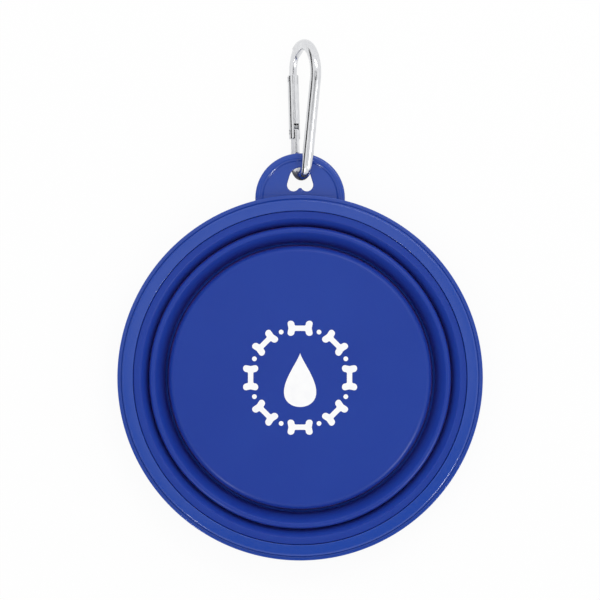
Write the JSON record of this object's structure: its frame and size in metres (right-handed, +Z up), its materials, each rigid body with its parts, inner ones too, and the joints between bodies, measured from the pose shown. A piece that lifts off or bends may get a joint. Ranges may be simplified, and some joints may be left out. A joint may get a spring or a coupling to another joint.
{
  "type": "collapsible bowl",
  "caption": "Collapsible silicone travel bowl stored folded flat: stepped tiers pull up on thin folds below a rigid rim, and a spring-gate clip hangs in the rim's tab.",
  "frame": {"origin": "on the bowl's axis, on the surface that the foot ring stands on", "axes": "+Z up along the bowl's axis, +Y towards the hang tab and the clip"},
  "size_m": [0.13, 0.1854, 0.0222],
  "materials": {
    "silicone": "satin moulded silicone",
    "rim_plastic": "smooth moulded polypropylene",
    "clip_aluminium": "polished",
    "pin_steel": "plain drawn"
  },
  "bodies": {
    "base": {"base_floor": "silicone", "lower_fold": "silicone"},
    "middle": {"middle_ring": "silicone", "upper_fold": "silicone"},
    "rim": {"rim_ring": "rim_plastic", "upper_wall": "silicone"},
    "clip": {"clip_frame": "clip_aluminium"},
    "gate": {"clip_gate": "clip_aluminium", "gate_hinge_pin": "pin_steel", "gate_latch_pin": "pin_steel", "gate_spring": "pin_steel", "spring_plunger": "pin_steel"}
  },
  "joints": [
    {"name": "lower_fold_slide", "type": "slide", "parent": "base", "child": "middle", "axis": [0, 0, 1], "range_m": [0, 0.0178], "deforming": ["lower_fold"]},
    {"name": "upper_fold_slide", "type": "slide", "parent": "middle", "child": "rim", "axis": [0, 0, 1], "range_m": [0, 0.0198], "deforming": ["upper_fold"]},
    {"name": "clip_swing", "type": "hinge", "parent": "rim", "child": "clip", "pos_m": [0.0004, 0.07745, 0.00671], "axis": [0.915, 0.0252, -0.4027], "range_deg": [-115, 105]},
    {"name": "gate_hinge", "type": "hinge", "parent": "clip", "child": "gate", "pos_m": [-0.00198, 0.08779, 0.00195], "axis": [0.915, 0.0252, -0.4027], "range_deg": [0, 30], "stiffness_Nm_per_rad": 0.06, "springref_deg": -34.38}
  ]
}
